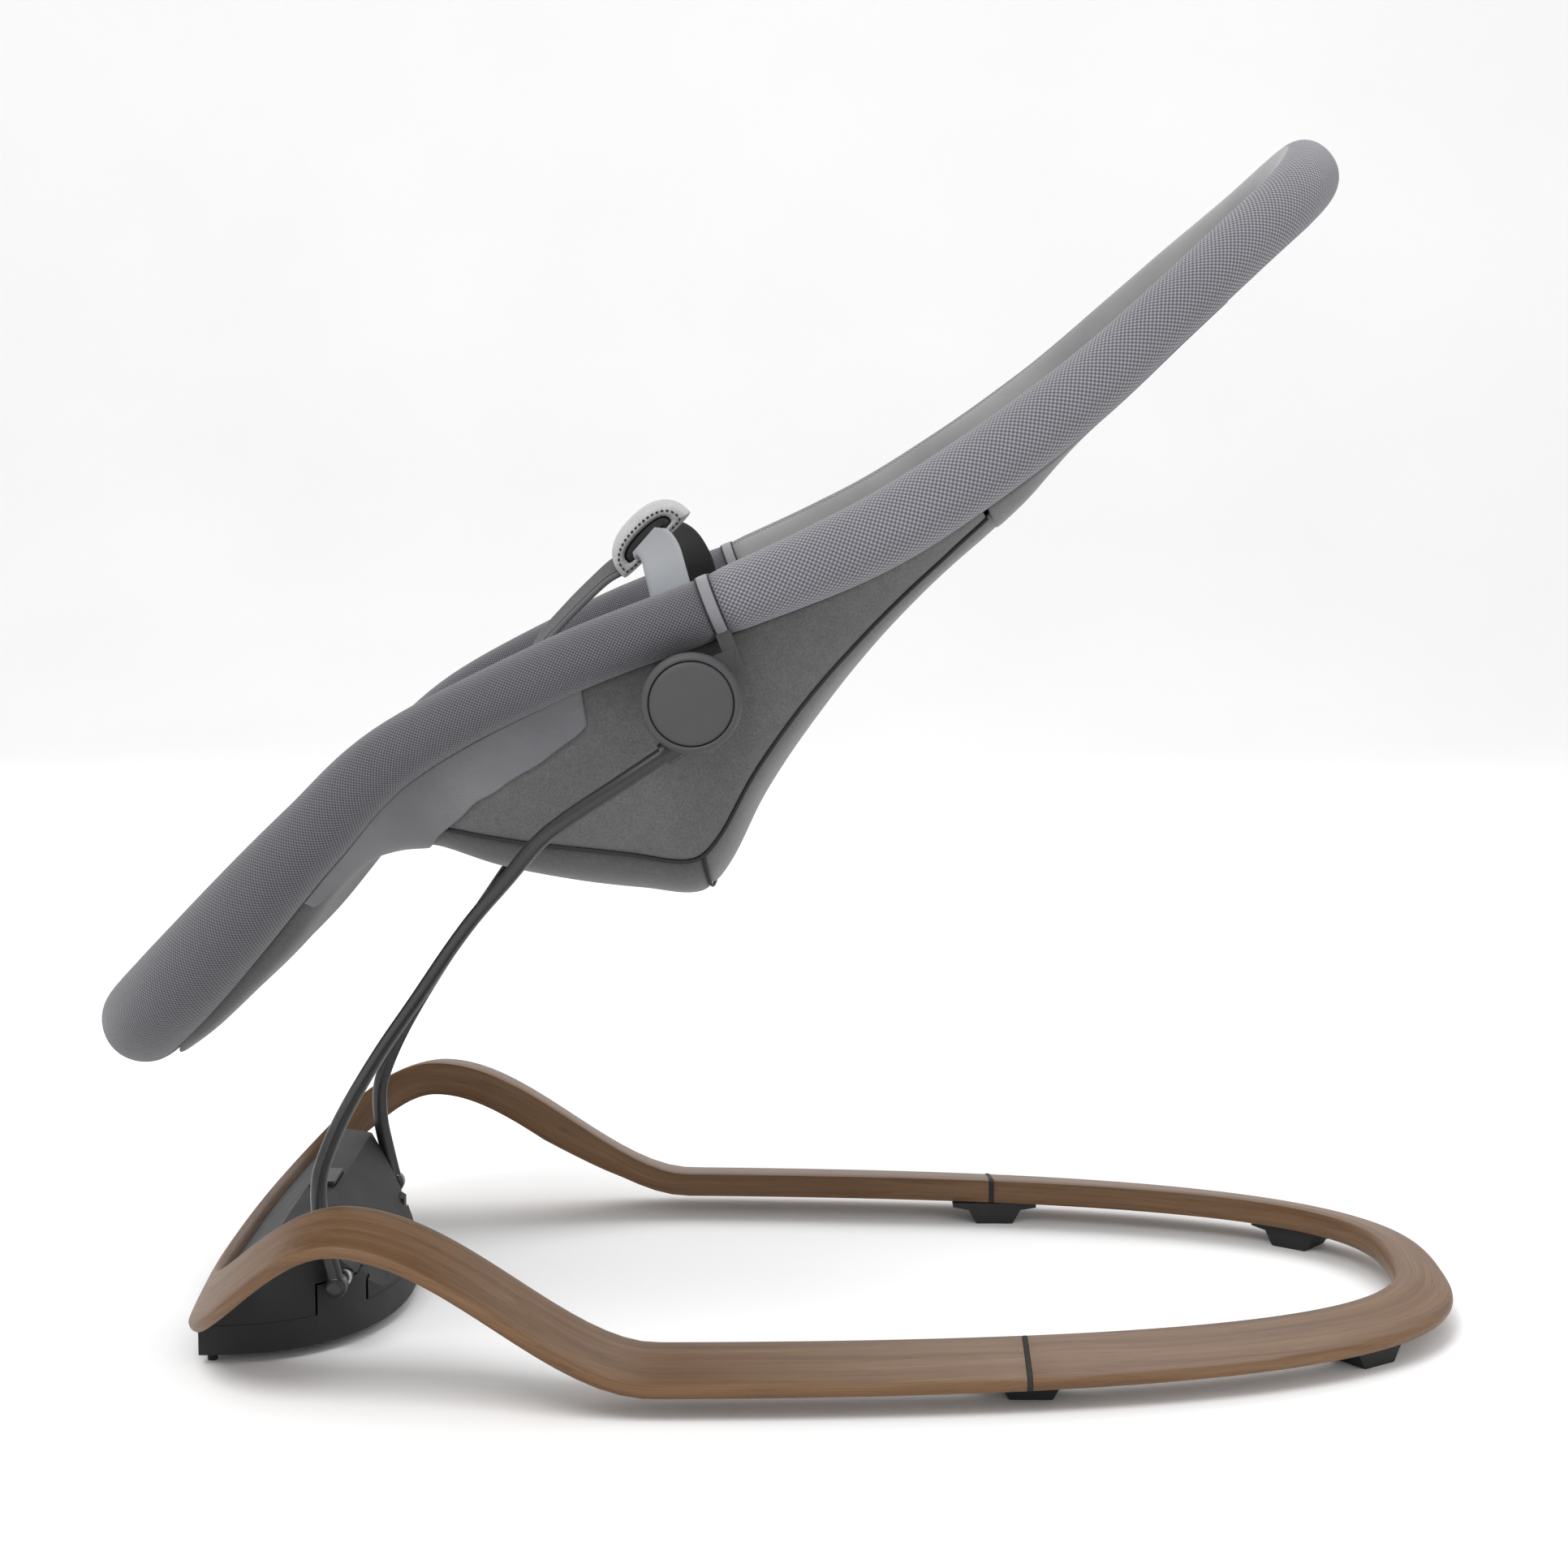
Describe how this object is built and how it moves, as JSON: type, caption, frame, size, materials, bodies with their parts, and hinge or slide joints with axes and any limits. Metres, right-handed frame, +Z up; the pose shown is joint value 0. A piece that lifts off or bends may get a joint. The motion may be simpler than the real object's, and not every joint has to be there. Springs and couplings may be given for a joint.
{
  "type": "bouncer seat",
  "caption": "Baby bouncer seat: padded sling seat on two spring legs over a bent wood base ring, with a reclining hub each side, a fold-down leg frame and a waist and crotch harness.",
  "frame": {"origin": "on the floor, at the middle of the object's bounding box", "axes": "+X from the foot end to the head end, -Y to the sitting child's left, +Z up"},
  "size_m": [0.702, 0.42, 0.6005],
  "materials": {
    "walnut": "satin oiled",
    "housing_plastic": "fine moulded texture",
    "hub_plastic": "fine moulded texture",
    "rubber": "matt",
    "painted_tube": "satin powder coat",
    "steel": "zinc plated",
    "knit_light": "coarse spacer knit",
    "knit_dark": "fine rib knit",
    "band_fabric": "smooth tape",
    "felt": "melange felt",
    "smooth_knit": "smooth jersey",
    "sling_fabric": "padded melange jersey",
    "webbing": "woven tape"
  },
  "bodies": {
    "base": {"wood_rail_front": "walnut", "wood_rail_rear": "walnut", "joint_collar_left": "rubber", "joint_collar_right": "rubber", "joint_spigot_left": "steel", "joint_spigot_right": "steel", "mid_foot_left": "housing_plastic", "mid_foot_right": "housing_plastic", "rear_foot_left": "housing_plastic", "rear_foot_right": "housing_plastic", "front_foot_left": "rubber", "front_foot_right": "rubber", "housing_upper": "housing_plastic", "housing_lower": "housing_plastic", "pivot_bush_left": "steel", "pivot_bush_right": "steel", "housing_screws": "steel", "foot_screws": "steel", "latch_spring": "steel"},
    "fold_button": {"fold_button": "housing_plastic"},
    "legs": {"leg_tube_left": "painted_tube", "leg_tube_right": "painted_tube", "pivot_rod": "steel", "lock_cam": "steel", "leg_hub_left": "hub_plastic", "leg_hub_right": "hub_plastic", "hub_rim_left": "hub_plastic", "hub_rim_right": "hub_plastic", "button_spring_left": "steel", "button_spring_right": "steel"},
    "recline_button_left": {"recline_button_left": "hub_plastic"},
    "recline_button_right": {"recline_button_right": "hub_plastic"},
    "seat": {"hub_bracket_left": "hub_plastic", "hub_bracket_right": "hub_plastic", "hub_axle_left": "steel", "hub_axle_right": "steel", "frame_tube_upper": "steel", "frame_tube_lower": "steel", "rim_pad_upper": "knit_light", "rim_pad_lower": "knit_dark", "rim_band_left": "band_fabric", "rim_band_right": "band_fabric", "seat_sling": "sling_fabric", "pod_side_left": "felt", "pod_side_right": "felt", "pod_bottom_panel": "felt", "pod_back_panel": "felt", "side_panel_left": "smooth_knit", "side_panel_right": "smooth_knit", "calf_panel": "felt", "back_flap": "felt", "crotch_strap": "webbing", "waist_strap_left": "webbing", "waist_strap_right": "webbing", "buckle_body": "housing_plastic", "buckle_cover": "sling_fabric"},
    "buckle_button": {"buckle_button": "housing_plastic"},
    "tongue_left": {"tongue_left": "housing_plastic"},
    "tongue_right": {"tongue_right": "housing_plastic"}
  },
  "joints": [
    {"name": "leg_fold", "type": "hinge", "parent": "base", "child": "legs", "pos_m": [-0.218, 0, 0.035], "axis": [0, 1, 0], "range_deg": [0, 47]},
    {"name": "fold_release", "type": "slide", "parent": "base", "child": "fold_button", "axis": [0, 0, -1], "range_m": [0, 0.005], "stiffness_N_per_m": 400, "springref_m": -0.002, "deforming": ["latch_spring"]},
    {"name": "seat_recline", "type": "hinge", "parent": "legs", "child": "seat", "pos_m": [-0.036, 0, 0.336], "axis": [0, -1, 0], "range_deg": [-12, 12]},
    {"name": "recline_press_left", "type": "slide", "parent": "legs", "child": "recline_button_left", "axis": [0, 1, 0], "range_m": [0, 0.004], "stiffness_N_per_m": 500, "springref_m": -0.002, "deforming": ["button_spring_left"]},
    {"name": "recline_press_right", "type": "slide", "parent": "legs", "child": "recline_button_right", "axis": [0, -1, 0], "range_m": [0, 0.004], "stiffness_N_per_m": 500, "springref_m": -0.002, "deforming": ["button_spring_right"]},
    {"name": "buckle_press", "type": "slide", "parent": "seat", "child": "buckle_button", "axis": [0.7071, 0, -0.7071], "range_m": [0, 0.002], "stiffness_N_per_m": 400, "springref_m": -0.002},
    {"name": "tongue_left_pull", "type": "slide", "parent": "seat", "child": "tongue_left", "axis": [0, -1, 0], "range_m": [0, 0.008]},
    {"name": "tongue_right_pull", "type": "slide", "parent": "seat", "child": "tongue_right", "axis": [0, 1, 0], "range_m": [0, 0.008]}
  ]
}
